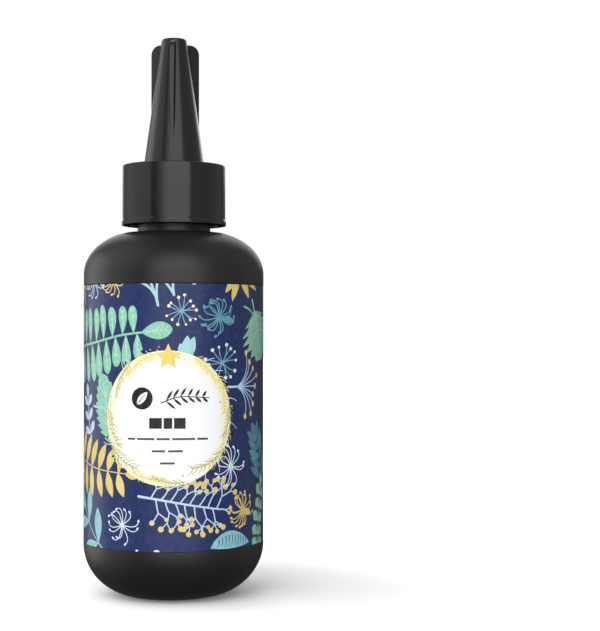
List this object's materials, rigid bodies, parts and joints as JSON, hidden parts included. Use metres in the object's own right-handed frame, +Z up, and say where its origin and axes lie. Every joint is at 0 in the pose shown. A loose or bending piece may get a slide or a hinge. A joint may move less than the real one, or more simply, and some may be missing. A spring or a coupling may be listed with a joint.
{
  "type": "resin squeeze bottle",
  "caption": "Black squeeze bottle of craft resin with a printed wrap label, screw collar, tapered spout and a tall over-cap with grip fins.",
  "frame": {"origin": "centre of the bottle's base, on the surface it stands on", "axes": "+Z up along the bottle's axis, front (the label's medallion) towards -Y, +X to the viewer's right"},
  "size_m": [0.044, 0.044, 0.1364],
  "materials": {
    "black_shell": "satin",
    "printed_film": "satin",
    "resin": "gloss",
    "foil": "satin",
    "foam": "matte",
    "clear_spout": "satin",
    "black_closure": "satin",
    "soft_plug": "matte"
  },
  "bodies": {
    "bottle_body": {"bottle": "black_shell", "wrap_label": "printed_film", "resin_fill": "resin", "foil_seal": "foil"},
    "spout_body": {"spout": "clear_spout", "neck_gasket": "foam"},
    "collar_body": {"collar_ring": "black_closure"},
    "plug_body": {"tip_seal": "soft_plug"},
    "cap_body": {"overcap": "black_closure"}
  },
  "joints": [
    {"name": "closure_lift", "type": "slide", "parent": "bottle_body", "child": "spout_body", "axis": [0, 0, 1], "range_m": [0, 0.0048]},
    {"name": "collar_turn", "type": "hinge", "parent": "spout_body", "child": "collar_body", "pos_m": [0, 0, 0.098], "axis": [0, 0, 1], "range_deg": [0, 540]},
    {"name": "overcap_lift", "type": "slide", "parent": "spout_body", "child": "plug_body", "axis": [0, 0, 1], "range_m": [0, 0.036]},
    {"name": "overcap_turn", "type": "hinge", "parent": "plug_body", "child": "cap_body", "pos_m": [0, 0, 0.12], "axis": [0, 0, 1], "continuous": true}
  ],
  "couplings": [
    {"joint": "closure_lift", "follows": "collar_turn", "m_per_rad": 0.00050532}
  ]
}
